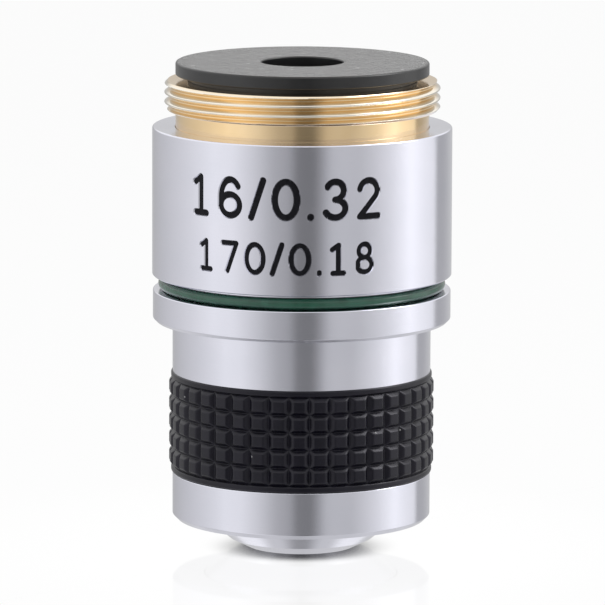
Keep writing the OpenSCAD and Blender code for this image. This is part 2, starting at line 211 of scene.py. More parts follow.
def add(tree, kind, inputs=None, **settings):
    """Adds a node, sets its settings, and gives its inputs values or links from sockets."""
    made = tree.nodes.new("ShaderNode" + kind)
    for key, value in settings.items():
        setattr(made, key, value)
    for key, value in (inputs or {}).items():
        if isinstance(value, bpy.types.NodeSocket):
            tree.links.new(value, made.inputs[key])
        else:
            made.inputs[key].default_value = value
    return made


def maths(tree, operation, *values):
    return add(tree, "Math", dict(enumerate(values)), operation=operation).outputs[0]


def times(tree, first, *others):
    """The product of values."""
    product = first
    for other in others:
        product = maths(tree, "MULTIPLY", product, other)
    return product


def remap(tree, value, low_in, high_in, low_out, high_out):
    """Maps a value from one range to another, clamped."""
    return add(tree, "MapRange", {"Value": value, "From Min": low_in, "From Max": high_in,
                                  "To Min": low_out, "To Max": high_out}).outputs[0]


def rise(tree, value, start, end):
    """0 up to start, 1 from end on, and even between them."""
    return remap(tree, value, start, end, 0.0, 1.0)


def fall(tree, value, start, end):
    """1 up to start, 0 from end on, and even between them."""
    return remap(tree, value, start, end, 1.0, 0.0)


def blend(tree, factor, first, second):
    """Mixes two values."""
    return add(tree, "Mix", {"Factor": factor, "A": first, "B": second}).outputs[0]


def blend_colours(tree, factor, first, second):
    """Mixes two colours; each is a tuple or a socket."""
    mixed = add(tree, "Mix", {"Factor": factor}, data_type="RGBA")
    for socket, colour in (("A", first), ("B", second)):
        inlet = next(s for s in mixed.inputs if s.name == socket and s.type == "RGBA")
        if isinstance(colour, bpy.types.NodeSocket):
            tree.links.new(colour, inlet)
        else:
            inlet.default_value = (*colour, 1)
    return next(s for s in mixed.outputs if s.type == "RGBA")


def blend_shaders(tree, factor, first, second):
    return add(tree, "MixShader", {"Fac": factor, 1: first.outputs[0], 2: second.outputs[0]})


def place_mm(tree):
    """The piece's own coordinates in millimetres: they move with the piece."""
    where = add(tree, "TexCoord").outputs["Object"]
    return add(tree, "VectorMath", {0: where, "Scale": 1 / MM}, operation="SCALE").outputs[0]


def length(tree, vector):
    return add(tree, "VectorMath", {0: vector}, operation="LENGTH").outputs["Value"]


def noise(tree, where, scale, detail=2.0, **sockets):
    made = add(tree, "TexNoise", {"Vector": where, "Scale": scale, "Detail": detail, **sockets})
    return made.outputs["Fac"]


def specks(tree, where, size, share):
    """Mask of sparse round specks: one in each of a small share of the cells of a size in mm."""
    speck_radius = 0.16     # as a share of the cell
    cells = add(tree, "TexVoronoi", {"Vector": where, "Scale": 1 / size})
    near = maths(tree, "LESS_THAN", cells.outputs["Distance"], speck_radius)
    pick = add(tree, "SeparateColor", {"Color": cells.outputs["Color"]}).outputs[0]
    return times(tree, near, maths(tree, "LESS_THAN", pick, share))


def paint(tree, shader, cloud, tone_range, first, second):
    """Colours a shader between two near tones, as a noise goes through a range."""
    skin = blend_colours(tree, rise(tree, cloud, *tone_range), first, second)
    tree.links.new(skin, shader.inputs["Base Color"])


def overlay(tree, shader, mask, colour):
    """Lays one colour over a shader's paint, where a mask is 1."""
    base = shader.inputs["Base Color"]
    tree.links.new(blend_colours(tree, mask, base.links[0].from_socket, colour), base)


def bump(tree, shader, height, strength, depth_mm):
    made = add(tree, "Bump", {"Height": height, "Strength": strength, "Distance": depth_mm * MM})
    tree.links.new(made.outputs[0], shader.inputs["Normal"])


# ------------------------------------------------------------------ materials

def turned_metal(name, base, dull, roughness, anisotropy, ring_depth):
    """Metal with the fine rings that a lathe leaves, and slight changes of tone."""
    mat, tree, shader = new_material(name, base, Metallic=1.0, Roughness=roughness,
                                     Anisotropic=anisotropy, Anisotropic_Rotation=0.25)
    where = place_mm(tree)
    height = add(tree, "SeparateXYZ", {0: where}).outputs["Z"]
    rings = add(tree, "TexNoise", {"W": height, "Scale": 9.0, "Detail": 4.0, "Roughness": 0.8},
                noise_dimensions="1D").outputs["Fac"]
    bump(tree, shader, rings, 0.6, ring_depth)
    paint(tree, shader, noise(tree, where, 0.25, 3.0), (0.35, 0.65), base, dull)
    tangent = add(tree, "Tangent", direction_type="RADIAL", axis="Z")
    tree.links.new(tangent.outputs[0], shader.inputs["Tangent"])
    return mat, tree, shader


def nickel():
    return turned_metal("nickel", (0.80, 0.80, 0.885), (0.775, 0.78, 0.865), 0.16, 0.85, 0.004)[0]


def brass():
    """Brass, painted paler on the crests of the thread, which lie further out than the rest: a painted
    highlight.
    """
    highlight_start, highlight_full = 0.37, 0.1       # inwards from the crests
    mat, tree, shader = turned_metal("brass", (0.97, 0.74, 0.45), (0.93, 0.68, 0.38), 0.1, 0.3, 0.004)
    split = add(tree, "SeparateXYZ", {0: place_mm(tree)})
    across = add(tree, "CombineXYZ", {"X": split.outputs["X"], "Y": split.outputs["Y"]}).outputs[0]
    crest = reach("thread_mount")
    # paler tone on the crests: a painted highlight
    crest_highlight = rise(tree, length(tree, across), crest - highlight_start, crest - highlight_full)
    overlay(tree, shader, crest_highlight, (0.92, 0.86, 0.75))
    return mat


def black_brass():
    return turned_metal("black_brass", (0.035, 0.035, 0.04), (0.028, 0.028, 0.032), 0.42, 0.4, 0.006)[0]


def spring_steel():
    return turned_metal("spring_steel", (0.52, 0.52, 0.54), (0.46, 0.46, 0.48), 0.28, 0.2, 0.002)[0]


def black_plastic():
    """Moulded plastic with a soft gloss and a little pale dust."""
    mat, tree, shader = new_material("black_plastic", (0.003, 0.003, 0.003), Roughness=0.3,
                                     Specular_IOR_Level=0.7)
    where = place_mm(tree)
    paint(tree, shader, noise(tree, where, 1.2, 4.0), (0.35, 0.7),
          (0.0025, 0.0025, 0.003), (0.005, 0.005, 0.0055))
    overlay(tree, shader, specks(tree, where, 0.45, 0.015), (0.12, 0.12, 0.12))
    bump(tree, shader, noise(tree, where, 6.0, 4.0), 0.25, 0.02)
    return mat


def rough_plastic_painted_sheen():
    """The same plastic with the coarse skin of the stop's upper face, painted lighter there as a
    painted sheen.
    """
    mat, tree, shader = new_material("rough_plastic_painted_sheen", (0.016, 0.015, 0.018), Roughness=0.3,
                                     Specular_IOR_Level=0.9)
    where = place_mm(tree)
    coarse = noise(tree, where, 1.6, 6.0, Roughness=0.62, Distortion=0.3)
    # lighter tones than the black plastic: the coarse skin is real, its lightness is painted sheen
    paint(tree, shader, coarse, (0.4, 0.65), (0.04, 0.04, 0.04), (0.09, 0.09, 0.09))
    overlay(tree, shader, specks(tree, where, 0.8, 0.08), (0.35, 0.35, 0.35))
    tree.links.new(remap(tree, coarse, 0.35, 0.65, 0.06, 0.24), shader.inputs["Roughness"])
    bump(tree, shader, coarse, 1.0, 0.32)
    return mat


def rubber():
    """Black moulded rubber, a little dusty."""
    mat, tree, shader = new_material("black_rubber", (0.002, 0.002, 0.003), Roughness=0.32,
                                     Specular_IOR_Level=0.38, Specular_Tint=(0.92, 0.9, 1.0, 1.0))
    where = place_mm(tree)
    paint(tree, shader, noise(tree, where, 0.8, 4.0), (0.35, 0.7),
          (0.001, 0.001, 0.003), (0.0025, 0.0022, 0.005))
    overlay(tree, shader, specks(tree, where, 0.45, 0.02), (0.14, 0.14, 0.14))
    bump(tree, shader, noise(tree, where, 9.0, 4.0), 0.35, 0.02)
    return mat


def enamel():
    """Glossy dark green enamel, as on a colour code ring."""
    mat, tree, shader = new_material("green_enamel", (0.008, 0.05, 0.03), Roughness=0.25,
                                     Coat_Weight=0.3, Coat_Roughness=0.08)
    where = place_mm(tree)
    paint(tree, shader, noise(tree, where, 0.9), (0.35, 0.65),
          (0.006, 0.042, 0.025), (0.010, 0.058, 0.036))
    bump(tree, shader, noise(tree, where, 1.5), 0.2, 0.01)
    return mat


def engraving_paint():
    """Black paint that fills the engraved numbers."""
    mat, tree, shader = new_material("engraving_paint", (0.002, 0.002, 0.004), Roughness=0.5,
                                     Specular_IOR_Level=0.15)
    where = place_mm(tree)
    paint(tree, shader, noise(tree, where, 3.0, 4.0), (0.35, 0.7),
          (0.0015, 0.0015, 0.003), (0.004, 0.004, 0.006))
    bump(tree, shader, noise(tree, where, 12.0), 0.3, 0.01)
    return mat


def glass():
    """Coated optical glass: the thin film gives its reflections a faint tint."""
    mat, tree, shader = new_material("optical_glass", (0.96, 0.99, 0.98), Roughness=0.0, IOR=1.52,
                                     Transmission_Weight=1.0, Thin_Film_Thickness=110.0,
                                     Thin_Film_IOR=1.38)
    polish = remap(tree, noise(tree, place_mm(tree), 0.6), 0.3, 0.7, 0.0, 0.02)
    tree.links.new(polish, shader.inputs["Roughness"])
    return mat


# ------------------------------------------------------------------ turned pieces

def make_rear_stop():
    """Black disc with its light hole, on a hollow skirt."""
    disc_t, disc_overhang, skirt_wall, hole = 0.95, 0.92, 1.95, 3.0
    disc = reach("rear_stop")
    skirt = disc - disc_overhang
    foot, top = low("rear_stop"), high("rear_stop")
    step = top - disc_t
    shell, _ = revolve(outline(
        (skirt - skirt_wall, foot, 0.05), (skirt, foot, 0.05), (skirt, step, 0.08), (disc, step, 0.1),
        (disc, top, 0.16), (hole, top, 0.12), (hole, step, 0.05), (skirt - skirt_wall, step, 0.05)))
    level = 0.99        # a face whose corner normals all rise more than this gets the coarse skin, with its lighter painted sheen
    corners = [shell.normals[4 * i:4 * i + 4] for i in range(len(shell.faces))]
    shell.slots = [int(all(n[2] > level for n in four)) for four in corners]
    return shell.object("rear_stop_disc", "barrel", "black_plastic", "rear_stop")


def make_colour_band():
    """Half-round enamelled band, seated in the groove under the barrel."""
    foot, top, outer = low("colour_band"), high("colour_band"), reach("colour_band")
    radius = (top - foot) / 2
    inner = reach("retaining_ring") - SPIGOT_STEP + CLEARANCE
    lean = math.degrees(math.acos((inner - outer + radius) / radius))
    steps = 24
    points = []
    for k in range(steps + 1):
        a = math.radians(lean * (2 * k / steps - 1))
        normal = Vector((math.cos(a), math.sin(a)))
        points.append((Vector((outer - radius, foot + radius)) + normal * radius, normal, normal))
    inward = Vector((-1, 0))
    points[0] = (points[0][0], inward, points[0][2])
    points[-1] = (points[-1][0], points[-1][1], inward)
    shell, _ = revolve(points)
    return shell.object("colour_ring", "barrel", "green_enamel", "colour_band")


def make_retaining_ring():
    """Flange under the band, and the spigot that screws up into the barrel."""
    chamfer, flange_h = 0.25, 2.3
    side = reach("retaining_ring")
    bore = reach("front_cap") + RUNNING
    foot, top = low("retaining_ring"), high("retaining_ring")
    flange_top = foot + flange_h
    shell, _ = revolve(outline(
        (bore, foot, 0.06), (side - chamfer, foot, 0.08), (side, foot + chamfer, 0.08),
        (side, flange_top, 0.09), (side - SPIGOT_STEP, flange_top, 0.05),
        (side - SPIGOT_STEP, top, 0.08), (bore, top, 0.05)))
    return shell.object("flange_ring", "barrel", "nickel_plate", "retaining_ring")


def make_front_cap():
    """Cap that closes the grip from below, with a chamfer at its lower edge."""
    chamfer, floor_t, thread_wall = 0.35, 1.3, 1.08
    side = reach("front_cap")
    foot, top = low("front_cap"), high("front_cap")
    hole = reach("nose_cone") + RUNNING
    shell, _ = revolve(outline(
        (hole, foot, 0.05), (side - chamfer, foot, 0.09), (side, foot + chamfer, 0.09),
        (side, top, 0.13), (side - thread_wall, top, 0.05),
        (side - thread_wall, foot + floor_t, 0.0), (hole, foot + floor_t, 0.04)))
    return shell.object("grip_cap", "nose", "nickel_plate", "front_cap")


def make_nose_cone():
    """Two cones over the flat front face, and the pocket of the front lens."""
    upper_w, lower_w, lower_h, rim, recess = 1.8, 1.3, 0.65, 1.8, 0.5
    spigot_h, spigot_wall, ring_room = 2.5, 1.31, 0.1
    side = reach("nose_cone")
    edge = side - upper_w
    face = edge - lower_w
    hole = face - rim
    cone_top, top = low("front_cap"), high("nose_cone")
    shoulder = top - spigot_h
    spigot = reach("rear_cell")
    pocket = reach("front_lens") + CLEARANCE
    pocket_top = high("front_lens_ring") + ring_room
    inner = spigot - spigot_wall
    shell, _ = revolve(outline(
        (hole, 0.0, 0.08), (face, 0.0, 0.12), (edge, lower_h, 0.12), (side, cone_top, 0.06),
        (side, shoulder, 0.06), (spigot, shoulder, 0.0), (spigot, top, 0.1), (inner, top, 0.06),
        (inner, pocket_top + (inner - pocket) / 2, 0.0), (pocket, pocket_top, 0.04),
        (pocket, recess, 0.0), (hole, recess, 0.05)))
    return shell.object("nose", "nose", "nickel_plate", "nose_cone")


# ------------------------------------------------------------------ thread mount

def thread_radius(crest, pitch, crest_z, turn, height):
    """Radius of the fine thread at a turn (0 to 1) and height: 55 degree flanks, rounded."""
    depth, crest_cut, half_flank, soft = 0.64 * pitch, 0.16 * pitch, math.radians(27.5), 0.07

    def above_zero(value):
        """The value where it is positive, and 0 elsewhere, with a soft bend between."""
        return 0.5 * (value + np.sqrt(value * value + soft * soft))

    phase = (height - crest_z) / pitch - turn
    away = abs(phase - np.round(phase)) * pitch
    drop = above_zero(away / math.tan(half_flank) - crest_cut)
    return crest - depth + above_zero(depth - drop)


def add_thread(shell, crest, chamfer, start, top):
    """Adds the thread's surface between two heights; returns its lowest and its highest ring."""
    pitch, crest_below_top, rows = 0.7056, 0.53, 72
    turns = np.arange(SEGMENTS) / SEGMENTS
    heights = np.linspace(start, top, rows + 1)
    turn_grid, height_grid = np.meshgrid(turns, heights)

    def surface(turn, height):
        raw = thread_radius(crest, pitch, top - crest_below_top, turn, height)
        from_end = np.minimum(height - start, top - height)
        return np.minimum(raw, crest - chamfer + np.maximum(from_end, 0))

    radius = surface(turn_grid, height_grid)
    small = 1e-4
    above, below = surface(turn_grid, height_grid + small), surface(turn_grid, height_grid - small)
    ahead, behind = surface(turn_grid + small, height_grid), surface(turn_grid - small, height_grid)
    slope_z = (above - below) / (2 * small)
    slope_t = (ahead - behind) / (2 * small) / (2 * math.pi * radius)
    angle = 2 * math.pi * turn_grid
    normals = np.stack([np.cos(angle) + slope_t * np.sin(angle),
                        np.sin(angle) - slope_t * np.cos(angle), -slope_z], axis=-1)
    normals /= np.linalg.norm(normals, axis=-1, keepdims=True)
    grid = [[shell.vertex((r * math.cos(a), r * math.sin(a), height)) for r, a in zip(radii, angles)]
            for radii, angles, height in zip(radius, angle, heights)]
    shell.net(grid, normals)
    return grid[0], grid[-1]


def make_thread_mount():
    """Brass mount: thread, plain neck and spigot, bored for the spring and the rear stop."""
    chamfer, thread_h = 0.25, 2.15
    neck_wall, web_t, web_gap, nose_step = 0.9, 0.8, 0.35, 0.1
    crest = reach("thread_mount")
    neck = crest - NECK_STEP
    bore = neck - neck_wall
    foot, top = low("thread_mount"), high("thread_mount")
    start = top - thread_h
    web = low("rear_stop")
    web_hole = reach("nose_cone") + nose_step + web_gap
    profile = outline(
        (bore, foot, 0.05), (neck, foot, 0.05), (neck, start, 0.08), (crest - chamfer, start, 0.0),
        (crest - chamfer, top, 0.0), (bore, top, 0.1), (bore, web, 0.0), (web_hole, web, 0.05),
        (web_hole, web - web_t, 0.05), (bore, web - web_t, 0.0))
    lower = find(profile, crest - chamfer, start)
    shell, rings = revolve(profile, skip=(lower - 1, lower, lower + 1))

    # the thread, and the two end faces that run up to it
    thread_foot, thread_head = add_thread(shell, crest, chamfer, start, top)
    shell.strip(rings[lower - 1], thread_foot, (0, -1), (0, -1))
    shell.strip(thread_head, rings[lower + 2], (0, 1), (0, 1))
    return shell.object("rms_thread_mount", "barrel", "brass", "thread_mount")


# ------------------------------------------------------------------ engraved barrel

def arc(x, y, rx, ry, start, end, steps=20):
    """Points of an elliptical arc, with its angles in degrees."""
    angles = [math.radians(start + (end - start) * k / steps) for k in range(steps + 1)]
    return [(x + rx * math.cos(a), y + ry * math.sin(a)) for a in angles]


# Strokes of the engraved signs, one unit high. A stroke that ends where it starts is a loop.
SIGNS = {
    "0": [arc(0, 0.5, 0.27, 0.43, 90, 450, 36)],
    "1": [[(0, 0.07), (0, 0.93)], [(0, 0.93), (-0.19, 0.80)], [(-0.17, 0.07), (0.17, 0.07)]],
    "2": [arc(0, 0.69, 0.23, 0.24, 170, -35) + [(-0.23, 0.07)], [(-0.23, 0.07), (0.25, 0.07)]],
    "3": [arc(0, 0.715, 0.21, 0.215, 155, -90), arc(0, 0.285, 0.25, 0.215, 90, -155)],
    "6": [arc(0, 0.32, 0.25, 0.25, 90, 450, 32), arc(0.01, 0.5, 0.26, 0.43, 40, 180) + [(-0.25, 0.32)]],
    "7": [[(-0.22, 0.93), (0.24, 0.93)], [(0.24, 0.93), (-0.07, 0.07)]],
    "8": [arc(0, 0.725, 0.19, 0.205, 90, 450, 30), arc(0, 0.295, 0.24, 0.225, 90, 450, 32)],
    "/": [[(-0.15, 0.05), (0.15, 0.95)]],
    ".": [[(0, 0.075), (0, 0.095)]],
}
HALF_WIDTHS = {"/": 0.28, ".": 0.17}
DIGIT_HALF_WIDTH = 0.425

# Plain numbers of the kind that every objective carries: the text, where its middle lies to the
# right of the front, how high its foot is above the barrel's, its size, and half its stroke
ENGRAVING = [("16/0.32", -1.5, 5.42, 3.02, 0.26), ("170/0.18", -1.4, 1.42, 2.36, 0.21)]


def line_of_signs(text, middle, base, size):
    """Strokes of a line of signs on the unrolled barrel."""
    halves = [HALF_WIDTHS.get(sign, DIGIT_HALF_WIDTH) * size for sign in text]
    x = middle - sum(halves)
    strokes = []
    for sign, half in zip(text, halves):
        x += half
        strokes += [[(x + px * size, base + py * size) for px, py in stroke] for stroke in SIGNS[sign]]
        x += half
    return strokes


def stroke_outlines(stroke, reach_out):
    """Closed outlines at a distance from a stroke, round at its free ends."""
    points = [Vector(p) for p in stroke]
    closed = (points[0] - points[-1]).length < SAME
    if closed:
        points = points[:-1]
    count = len(points)
    sides = []
    for i, here in enumerate(points):
        before = points[i - 1] if i > 0 or closed else here
        after = points[(i + 1) % count] if i < count - 1 or closed else here
        along = ((here - before).normalized() + (after - here).normalized()).normalized()
        sides.append(Vector((-along.y, along.x)))
    left = [p + s * reach_out for p, s in zip(points, sides)]
    right = [p - s * reach_out for p, s in zip(points, sides)]
    if closed:
        return [left, right]
    cap_steps = 10

    def cap(centre, side):
        return [centre + Matrix.Rotation(-math.pi * k / cap_steps, 2) @ side * reach_out
                for k in range(1, cap_steps)]

    return [left + cap(points[-1], sides[-1]) + right[::-1] + cap(points[0], -sides[0])]


def stroke_distance(strokes, places):
    """Distance of each place to the nearest stroke."""
    nearest = np.full(len(places), np.inf)
    for stroke in strokes:
        for start, end in zip(stroke, stroke[1:]):
            a, b = np.array(start), np.array(end)
            along = np.clip(((places - a) @ (b - a)) / ((b - a) @ (b - a)), 0, 1)
            nearest = np.minimum(nearest, np.linalg.norm(places - a - along[:, None] * (b - a), axis=1))
    return nearest


def unroll(lines, bevel, radius, foot, head):
    """Points and edges of the unrolled wall: its two ends, and two outlines around each stroke."""
    step = 2 * math.pi * radius / SEGMENTS
    columns = range(SEGMENTS + 1)
    points = [Vector((k * step - math.pi * radius, z)) for z in (foot, head) for k in columns]
    edges = [(k, k + len(columns)) for k in columns]
    edges += [(k + row, k + row + 1) for row in (0, len(columns)) for k in range(SEGMENTS)]
    for strokes, half in lines:
        for stroke in strokes:
            for reach_out in (half, half - bevel):
                for loop in stroke_outlines(stroke, reach_out):
                    first = len(points)
                    points += loop
                    edges += [(first + i, first + (i + 1) % len(loop)) for i in range(len(loop))]
    return points, edges


def engrave(shell, lower, upper, radius, foot, head):
    """Fills the barrel's wall between two rings, with the numbers sunk into it."""
    depth, bevel, slack, painted, merge = 0.09, 0.06, 0.004, 0.6, 1e-4
    lines = [(line_of_signs(text, middle, foot + base, size), half)
             for text, middle, base, size, half in ENGRAVING]
    points, edges = unroll(lines, bevel, radius, foot, head)
    flat, _, triangles, sources, _, _ = delaunay_2d_cdt(points, edges, [], 0, merge)

    # how far each point is sunk: fully inside the inner outline, not at all outside the outer one
    places = np.array([tuple(p) for p in flat])
    sunk = np.zeros(len(places))
    for strokes, half in lines:
        inside = (half - slack - stroke_distance(strokes, places)) / (bevel - 2 * slack)
        sunk = np.maximum(sunk, np.clip(inside, 0, 1) * depth)

    # the points rolled back on to the barrel; those of the two ends are the rings' own
    back, upper_start = SEGMENTS // 4, SEGMENTS + 1
    indices = []
    for place, source, down in zip(places, sources, sunk):
        ring = [s for s in source if s < 2 * upper_start]
        if ring:
            k = (ring[0] % upper_start + back) % SEGMENTS
            indices.append((lower if ring[0] < upper_start else upper)[k])
            continue
        turn = place[0] / radius + math.radians(FRONT)
        out = radius - down
        indices.append(shell.vertex((out * math.cos(turn), out * math.sin(turn), place[1])))
    for triangle in triangles:
        corners = [indices[i] for i in triangle]
        downs = [sunk[i] for i in triangle]
        a, b, c = (Vector(shell.verts[i]) for i in corners)
        facing = (b - a).cross(c - a)
        if facing.x * a.x + facing.y * a.y < 0:
            corners.reverse()
            facing.negate()
        if max(downs) - min(downs) < SAME:
            normals = [Vector(shell.verts[i][:2] + (0,)).normalized() for i in corners]
        else:
            normals = [facing.normalized()] * 3
        shell.face(corners, normals, int(min(downs) > painted * depth))


def make_outer_barrel():
    """Barrel with its engraved wall, its bores and the keyway of the guide pin."""
    chamfer, wall, chamber_wall, lip_t, top_fillet = 0.08, 0.83, 1.21, 0.7, 0.14
    key_steps, key_room = 3, 0.1
    side = reach("outer_barrel")
    foot, top = low("outer_barrel"), high("outer_barrel")
    bore = side - wall
    chamber = side - chamber_wall
    ledge = high("retaining_ring")
    seat = low("thread_mount")
    lip = seat - lip_t
    key_top = lip - key_room
    neck = reach("thread_mount") - NECK_STEP + CLEARANCE
    hole = reach("lens_barrel") + RUNNING
    profile = outline(
        (bore, foot, 0.06), (side - chamfer, foot, 0.04), (side, foot + chamfer, 0.04),
        (side, top, top_fillet), (neck, top, 0.06), (neck, seat, 0.0),
        (hole, seat, 0.0), (hole, lip, 0.0), (chamber, lip, 0.0),
        (chamber, key_top, 0.0), (chamber, ledge, 0.0), (bore, ledge, 0.0))
    wall_foot = next(i for i, (place, _, _) in enumerate(profile) if place.x > side - SAME)
    wall_top = wall_foot + 1
    key_a = find(profile, chamber, key_top)
    key_b, key_c = key_a + 1, key_a + 2
    shell, rings = revolve(profile, skip=(wall_foot, key_a, key_b))
    engrave(shell, rings[wall_foot], rings[wall_top], side,
            profile[wall_foot][0].y, profile[wall_top][0].y)

    # keyway at the back: between its walls the chamber is as wide as the bore below it
    back = SEGMENTS // 4
    key = range(back - key_steps, back + key_steps)
    rest = [k for k in range(SEGMENTS) if k not in key]
    shell.strip(rings[key_a], rings[key_b], (-1, 0), (-1, 0), rest)
    shell.strip(rings[key_b], rings[key_c], (0, -1), (0, -1), rest)
    shelf = shell.ring(bore, key_top)
    shell.strip(rings[key_a], shelf, (0, -1), (0, -1), key)
    shell.strip(shelf, rings[key_c], (-1, 0), (-1, 0), key)
    for k, way in ((back - key_steps, 1), (back + key_steps, -1)):
        t = 2 * math.pi * k / SEGMENTS
        normal = (-math.sin(t) * way, math.cos(t) * way, 0)
        corners = [rings[key_c][k], rings[key_b][k], rings[key_a][k], shelf[k]]
        shell.face(corners if way > 0 else corners[::-1], [normal] * 4)
    return shell.object("engraved_barrel", "barrel", "nickel_plate", "outer_barrel")


# ------------------------------------------------------------------ grip

def groove_steps():
    """Places across one pyramid, from groove to groove, as shares of its width."""
    half = [0.0, 0.025, 0.06, 0.11, 0.17, 0.22, 0.26, 0.31, 0.40]
    return half + [0.5] + [1 - s for s in half[:0:-1]]


def pyramid_height(across, up, depth, flat):
    """Height of the pyramid field over its grooves, at shares across and up one pyramid."""
    from_side = np.minimum(across, 1 - across)
    from_foot = np.minimum(up, 1 - up)
    slope = 2 / (1 - flat)
    # smooth lower bound of both slopes and the flat top
    sharp, lift = 9.0, 0.06
    bound = np.exp(-sharp * slope * from_side) + np.exp(-sharp * slope * from_foot) + np.exp(-sharp)
    return depth * np.clip(lift - np.log(bound) / sharp, 0, 1)


def rim_section(rim, valley, rim_h, rounding):
    """Section of a rim from the grip's end inwards: rounded edge, plain side, ease to the valley."""
    section = []
    for a in (math.radians(15 * k) for k in range(7)):
        section.append((rim - rounding + rounding * math.sin(a), rounding - rounding * math.cos(a)))
    section += [(rim, rounding + (rim_h - 2 * rounding) * share) for share in (0.5, 1.0)]
    for a in (math.radians(18 * k) for k in range(1, 5)):
        section.append((valley + (rim - valley) * (0.5 + 0.5 * math.cos(2 * a)),
                        rim_h - rounding + rounding * math.sin(a)))
    return section


def make_grip():
    """Moulded rubber ring: rows of flat-topped pyramids between two plain rims."""
    rows, columns, turned, depth, flat = 5, 40, 3.6, 0.3, 0.54
    rim_h, rim_inset, rounding = 0.5, 0.14, 0.16
    crest = reach("grip")
    foot, top = low("grip"), high("grip")
    bore = reach("front_cap") - GRIP_STEP + CLEARANCE
    rim = crest - rim_inset
    valley = crest - depth
    row_h = (top - foot - 2 * rim_h) / rows
    steps = groove_steps()
    across = np.array([c + s for c in range(columns) for s in steps])
    turn = 2 * math.pi * across / columns + math.radians(turned)
    count = len(turn)
    plain = np.ones(count)
    shell = Shell()

    def ring(radii, height):
        return [shell.vertex((r * math.cos(t), r * math.sin(t), height)) for r, t in zip(radii, turn)]

    section = rim_section(rim, valley, rim_h, rounding)
    rings = [ring(plain * r, foot + z) for r, z in section]
    for row, up in [(r, s) for r in range(rows) for s in steps] + [(rows - 1, 1.0)]:
        radii = valley + pyramid_height(across % 1, up, depth, flat)
        rings.append(ring(radii, foot + rim_h + (row + up) * row_h))
    rings += [ring(plain * r, top - z) for r, z in reversed(section)]

    # normals averaged over the grid of rings
    table = np.array([[shell.verts[v] for v in one] for one in rings])
    rising = np.gradient(table, axis=0)
    around = (np.roll(table, -1, axis=1) - np.roll(table, 1, axis=1)) / 2
    normals = np.cross(around, rising)
    normals /= np.linalg.norm(normals, axis=-1, keepdims=True)
    shell.net(rings, normals)

    # the two flat ends and the bore
    inner_low, inner_high = ring(plain * bore, foot), ring(plain * bore, top)
    for k in range(count):
        n = (k + 1) % count
        into, next_into = ((-math.cos(t), -math.sin(t), 0) for t in (turn[k], turn[n]))
        shell.face((inner_low[k], inner_low[n], rings[0][n], rings[0][k]), [(0, 0, -1)] * 4)
        shell.face((rings[-1][k], rings[-1][n], inner_high[n], inner_high[k]), [(0, 0, 1)] * 4)
        shell.face((inner_high[k], inner_high[n], inner_low[n], inner_low[k]),
                   (into, next_into, next_into, into))
    return shell.object("grip_ring", "nose", "black_rubber", "grip")


# ------------------------------------------------------------------ return spring

def make_return_spring():
    """Round wire coil with closed end turns."""
    wire_d, turns, ring_steps, sides = 0.7, 7, 48, 12
    foot, top = low("return_spring"), high("return_spring")
    mean = reach("return_spring") - wire_d / 2
    pitch = (top - foot - 3 * wire_d) / (turns - 2)

    def climb(t):
        """Rise of the wire after t turns: the first and last turn lie closed."""
        return (min(t, 1) + max(0, t - turns + 1)) * wire_d + max(0, min(t, turns - 1) - 1) * pitch

    shell = Shell()
    rings = []
    for i in range(turns * ring_steps + 1):
        a = 2 * math.pi * i / ring_steps
        out = Vector((math.cos(a), math.sin(a), 0))
        centre = out * mean + Vector((0, 0, foot + wire_d / 2 + climb(i / ring_steps)))
        around = []
        for s in range(sides):
            b = 2 * math.pi * s / sides
            normal = out * math.cos(b) + Vector((0, 0, math.sin(b)))
            around.append((shell.vertex(centre + normal * wire_d / 2), normal))
        rings.append(around)
    for one, other in zip(rings, rings[1:]):
        for s in range(sides):
            n = (s + 1) % sides
            four = (one[s], one[n], other[n], other[s])
            shell.face([v for v, _ in four], [m for _, m in four])
    for end, way in ((rings[0], -1), (rings[-1], 1)):
        a = 0 if way < 0 else 2 * math.pi * turns
        normal = (-math.sin(a) * way, math.cos(a) * way, 0)
        shell.face([v for v, _ in (end[::-1] if way < 0 else end)], [normal] * sides)
    spring = shell.object("coil_spring", "barrel", "spring_steel", "return_spring")
    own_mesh(spring)
    return spring


# ------------------------------------------------------------------ dressing

def dress():
    """Makes the pieces, and gives every piece and every CAD node its finish."""
    looks = {"nickel_plate": nickel(), "brass": brass(), "black_plastic": black_plastic(),
             "green_enamel": enamel(), "spring_steel": spring_steel(), "black_rubber": rubber(),
             "black_brass": black_brass(), "optical_glass": glass()}
    for row in frame["record"]["subparts"]:
        mesh = frame["nodes"][row["node"]].data
        mesh.materials.clear()
        mesh.materials.append(looks[row["material_slot"]])
    made = {
        make_thread_mount(): [looks["brass"]],
        make_colour_band(): [looks["green_enamel"]],
        make_retaining_ring(): [looks["nickel_plate"]],
        make_front_cap(): [looks["nickel_plate"]],
        make_nose_cone(): [looks["nickel_plate"]],
        make_grip(): [looks["black_rubber"]],
        make_return_spring(): [looks["spring_steel"]],
        make_rear_stop(): [looks["black_plastic"], rough_plastic_painted_sheen()],
        make_outer_barrel(): [looks["nickel_plate"], engraving_paint()],
    }
    for piece, finishes in made.items():
        for finish in finishes:
            piece.data.materials.append(finish)


# ------------------------------------------------------------------ studio

